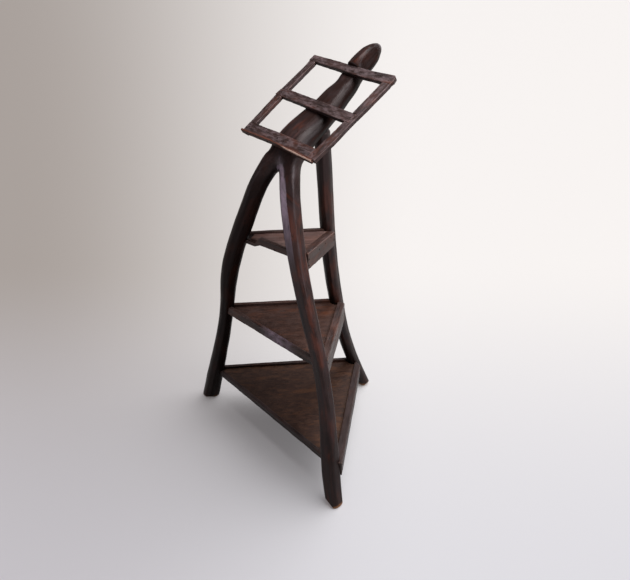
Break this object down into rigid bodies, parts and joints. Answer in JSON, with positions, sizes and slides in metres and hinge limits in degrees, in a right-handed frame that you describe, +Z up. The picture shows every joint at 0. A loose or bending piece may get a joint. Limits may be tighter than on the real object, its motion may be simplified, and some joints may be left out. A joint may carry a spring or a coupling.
{
  "type": "tripod reading stand",
  "caption": "Tripod reading stand hewn from natural-crook wood: a forked trunk and a rear leg carry a sloping open desk frame with a ledge, over triangular tray shelves.",
  "frame": {"origin": "middle of the footprint, on the floor under the stand", "axes": "+Z up, +X to the reader's right, the reader stands at -Y and looks along +Y"},
  "size_m": [0.7338, 0.5278, 1.2405],
  "materials": {
    "limb_wood": "hewn, dark, handled to a soft sheen",
    "desk_wood": "hewn, dark, greyed on top",
    "ledge_wood": "hewn, reddish, edge worn pale",
    "shelf_wood": "hewn, dry, scratched",
    "rail_wood": "hewn, dark, arrises worn",
    "nail_iron": "hand-forged, dull"
  },
  "bodies": {
    "root": {"forked_trunk": "limb_wood", "rear_leg": "limb_wood", "rear_leg_peg": "desk_wood", "desk_left_stile": "desk_wood", "desk_right_stile": "desk_wood", "desk_top_rail": "desk_wood", "desk_middle_rail": "desk_wood", "desk_bottom_rail": "desk_wood", "desk_ledge": "ledge_wood", "desk_joint_nails": "nail_iron", "desk_fixing_nails": "nail_iron", "ledge_nails": "nail_iron", "bottom_shelf_board": "shelf_wood", "bottom_shelf_front_rail": "rail_wood", "bottom_shelf_left_rail": "rail_wood", "bottom_shelf_right_rail": "rail_wood", "bottom_shelf_nails": "nail_iron", "middle_shelf_board": "shelf_wood", "middle_shelf_front_rail": "rail_wood", "middle_shelf_left_rail": "rail_wood", "middle_shelf_right_rail": "rail_wood", "middle_shelf_nails": "nail_iron", "top_shelf_board": "shelf_wood", "top_shelf_front_rail": "rail_wood", "top_shelf_left_rail": "rail_wood", "top_shelf_right_rail": "rail_wood", "top_shelf_nails": "nail_iron"}
  },
  "joints": []
}
